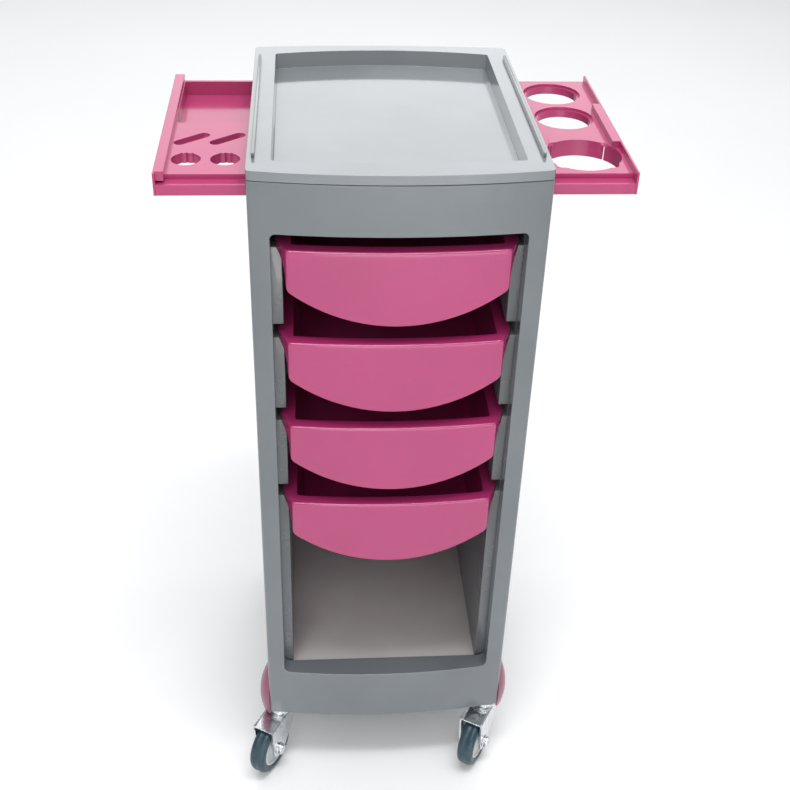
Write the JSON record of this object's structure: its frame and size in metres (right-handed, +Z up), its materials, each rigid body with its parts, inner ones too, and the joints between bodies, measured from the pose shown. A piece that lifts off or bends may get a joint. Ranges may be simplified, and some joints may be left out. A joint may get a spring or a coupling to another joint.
{
  "type": "spa trolley cart",
  "caption": "Tall moulded trolley with hanging drawers, an open lower compartment, a recessed lid, pull-out side trays and swivel casters.",
  "frame": {"origin": "on the floor under the middle of the cabinet, half way between its side panels and between its front and back corner lines; with the casters at rest that is also the middle of the foot of the whole part's box", "axes": "+Z up, the drawers open towards -Y, +X is the side of the tray with the cup holes"},
  "size_m": [0.5, 0.461, 0.8855],
  "materials": {
    "cabinet_grey": "glossy moulded grey plastic",
    "lid_grey": "glossy moulded grey plastic",
    "inner_grey": "moulded grey plastic",
    "shelf_grey": "glossy grey plastic",
    "drawer_pink": "glossy moulded pink plastic",
    "tray_pink": "glossy moulded pink plastic",
    "cap_pink": "moulded pink plastic",
    "zinc": "bright zinc plated steel",
    "hub_grey": "grey nylon",
    "tyre_rubber": "dark blue-grey rubber with a mould line"
  },
  "bodies": {
    "cabinet": {"front_frame": "cabinet_grey", "left_side_panel": "cabinet_grey", "right_side_panel": "cabinet_grey", "back_panel": "cabinet_grey", "top_lid": "lid_grey", "left_guide_panel": "inner_grey", "right_guide_panel": "inner_grey", "tray_deck": "inner_grey", "front_tray_channel": "inner_grey", "back_tray_channel": "inner_grey", "base_pan": "inner_grey", "bottom_shelf": "shelf_grey", "front_left_caster_stem": "zinc", "front_left_caster_cap": "cap_pink", "front_right_caster_stem": "zinc", "front_right_caster_cap": "cap_pink", "rear_left_caster_stem": "zinc", "rear_left_caster_cap": "cap_pink", "rear_right_caster_stem": "zinc", "rear_right_caster_cap": "cap_pink", "caster_nuts": "zinc", "back_panel_screws": "zinc", "base_screws": "zinc"},
    "drawer_1": {"drawer_1": "drawer_pink"},
    "drawer_2": {"drawer_2": "drawer_pink"},
    "drawer_3": {"drawer_3": "drawer_pink"},
    "drawer_4": {"drawer_4": "drawer_pink"},
    "left_tray": {"left_tool_tray": "tray_pink"},
    "right_tray": {"right_cup_tray": "tray_pink"},
    "front_left_swivel": {"front_left_caster_fork": "zinc", "front_left_caster_axle": "zinc"},
    "front_left_wheel": {"front_left_caster_hub": "hub_grey", "front_left_caster_tyre": "tyre_rubber"},
    "front_right_swivel": {"front_right_caster_fork": "zinc", "front_right_caster_axle": "zinc"},
    "front_right_wheel": {"front_right_caster_hub": "hub_grey", "front_right_caster_tyre": "tyre_rubber"},
    "rear_left_swivel": {"rear_left_caster_fork": "zinc", "rear_left_caster_axle": "zinc"},
    "rear_left_wheel": {"rear_left_caster_hub": "hub_grey", "rear_left_caster_tyre": "tyre_rubber"},
    "rear_right_swivel": {"rear_right_caster_fork": "zinc", "rear_right_caster_axle": "zinc"},
    "rear_right_wheel": {"rear_right_caster_hub": "hub_grey", "rear_right_caster_tyre": "tyre_rubber"}
  },
  "joints": [
    {"name": "drawer_1_slide", "type": "slide", "parent": "cabinet", "child": "drawer_1", "axis": [0, -1, 0], "range_m": [0, 0.24]},
    {"name": "drawer_2_slide", "type": "slide", "parent": "cabinet", "child": "drawer_2", "axis": [0, -1, 0], "range_m": [0, 0.24]},
    {"name": "drawer_3_slide", "type": "slide", "parent": "cabinet", "child": "drawer_3", "axis": [0, -1, 0], "range_m": [0, 0.24]},
    {"name": "drawer_4_slide", "type": "slide", "parent": "cabinet", "child": "drawer_4", "axis": [0, -1, 0], "range_m": [0, 0.24]},
    {"name": "left_tray_slide", "type": "slide", "parent": "cabinet", "child": "left_tray", "axis": [-1, 0, 0], "range_m": [-0.0915, 0]},
    {"name": "right_tray_slide", "type": "slide", "parent": "cabinet", "child": "right_tray", "axis": [1, 0, 0], "range_m": [-0.0915, 0]},
    {"name": "front_left_swivel_turn", "type": "hinge", "parent": "cabinet", "child": "front_left_swivel", "pos_m": [-0.141, -0.168, 0.086], "axis": [0, 0, 1], "continuous": true},
    {"name": "front_left_wheel_roll", "type": "hinge", "parent": "front_left_swivel", "child": "front_left_wheel", "pos_m": [-0.1565, -0.19485, 0.038], "axis": [0.866, -0.5, 0], "continuous": true},
    {"name": "front_right_swivel_turn", "type": "hinge", "parent": "cabinet", "child": "front_right_swivel", "pos_m": [0.141, -0.168, 0.086], "axis": [0, 0, 1], "continuous": true},
    {"name": "front_right_wheel_roll", "type": "hinge", "parent": "front_right_swivel", "child": "front_right_wheel", "pos_m": [0.1255, -0.19485, 0.038], "axis": [0.866, -0.5, 0], "continuous": true},
    {"name": "rear_left_swivel_turn", "type": "hinge", "parent": "cabinet", "child": "rear_left_swivel", "pos_m": [-0.141, 0.168, 0.086], "axis": [0, 0, 1], "continuous": true},
    {"name": "rear_left_wheel_roll", "type": "hinge", "parent": "rear_left_swivel", "child": "rear_left_wheel", "pos_m": [-0.1255, 0.19485, 0.038], "axis": [-0.866, 0.5, 0], "continuous": true},
    {"name": "rear_right_swivel_turn", "type": "hinge", "parent": "cabinet", "child": "rear_right_swivel", "pos_m": [0.141, 0.168, 0.086], "axis": [0, 0, 1], "continuous": true},
    {"name": "rear_right_wheel_roll", "type": "hinge", "parent": "rear_right_swivel", "child": "rear_right_wheel", "pos_m": [0.1255, 0.19485, 0.038], "axis": [-0.866, -0.5, 0], "continuous": true}
  ]
}
